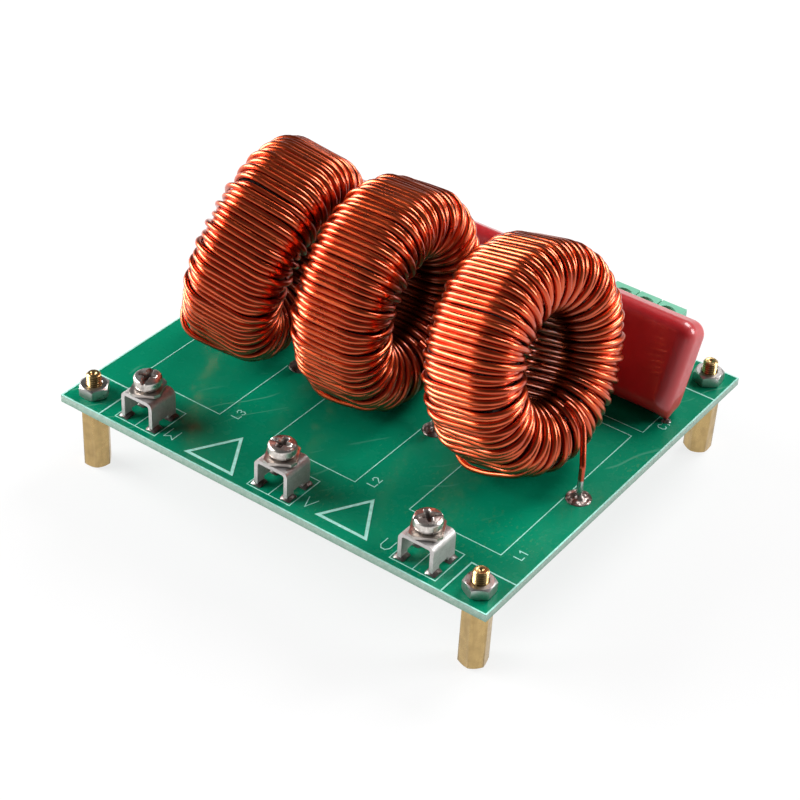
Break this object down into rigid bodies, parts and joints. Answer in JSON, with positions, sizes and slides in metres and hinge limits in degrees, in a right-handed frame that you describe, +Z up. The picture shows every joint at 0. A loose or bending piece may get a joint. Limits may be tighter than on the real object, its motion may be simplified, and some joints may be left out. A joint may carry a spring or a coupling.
{
  "type": "sine wave filter",
  "caption": "Three-phase sine wave filter: toroidal chokes and film capacitors on a circuit board with screw terminals and standoffs.",
  "frame": {"origin": "middle of the four standoff feet, on the surface that they stand on", "axes": "+X along the front edge with the three screw terminals, from W to U; +Y from that edge to the back; +Z up from the feet to the chokes"},
  "size_m": [0.1, 0.0904, 0.0627],
  "materials": {
    "laminate": "satin green solder mask",
    "print": "matt pale print",
    "brass": "dull yellow brass",
    "steel_nut": "bright nickel plate",
    "tinned_sheet": "satin tin plate",
    "clamp_plate": "bright nickel plate",
    "screw": "bright nickel plate",
    "powder_core": "matt coating, hidden by the wire",
    "enamelled_copper": "gloss copper enamel",
    "red_epoxy": "gloss red dip",
    "tinned_wire": "tin plate",
    "mint_housing": "satin pale green",
    "solder": "dull solder"
  },
  "bodies": {
    "root": {"circuit_board": "laminate", "board_print": "print", "standoff_front_left": "brass", "standoff_front_right": "brass", "standoff_back_left": "brass", "standoff_back_right": "brass", "nut_front_left": "steel_nut", "nut_front_right": "steel_nut", "nut_back_left": "steel_nut", "nut_back_right": "steel_nut", "bracket_w": "tinned_sheet", "bracket_v": "tinned_sheet", "bracket_u": "tinned_sheet", "clamp_plate_w": "clamp_plate", "clamp_plate_v": "clamp_plate", "clamp_plate_u": "clamp_plate", "spring_washer_w": "screw", "spring_washer_v": "screw", "spring_washer_u": "screw", "terminal_screw_w": "screw", "terminal_screw_v": "screw", "terminal_screw_u": "screw", "core_l3": "powder_core", "core_l2": "powder_core", "core_l1": "powder_core", "winding_l3": "enamelled_copper", "winding_l2": "enamelled_copper", "winding_l1": "enamelled_copper", "choke_wires_l3": "enamelled_copper", "choke_wires_l2": "enamelled_copper", "choke_wires_l1": "enamelled_copper", "capacitor_c3": "red_epoxy", "capacitor_c2": "red_epoxy", "capacitor_c1": "red_epoxy", "capacitor_wires": "tinned_wire", "output_block": "mint_housing", "block_screws": "steel_nut", "block_cages": "tinned_sheet", "block_pins": "tinned_wire", "choke_joints": "solder", "capacitor_joints": "solder", "bracket_joints": "solder", "underside_joints": "solder"}
  },
  "joints": []
}
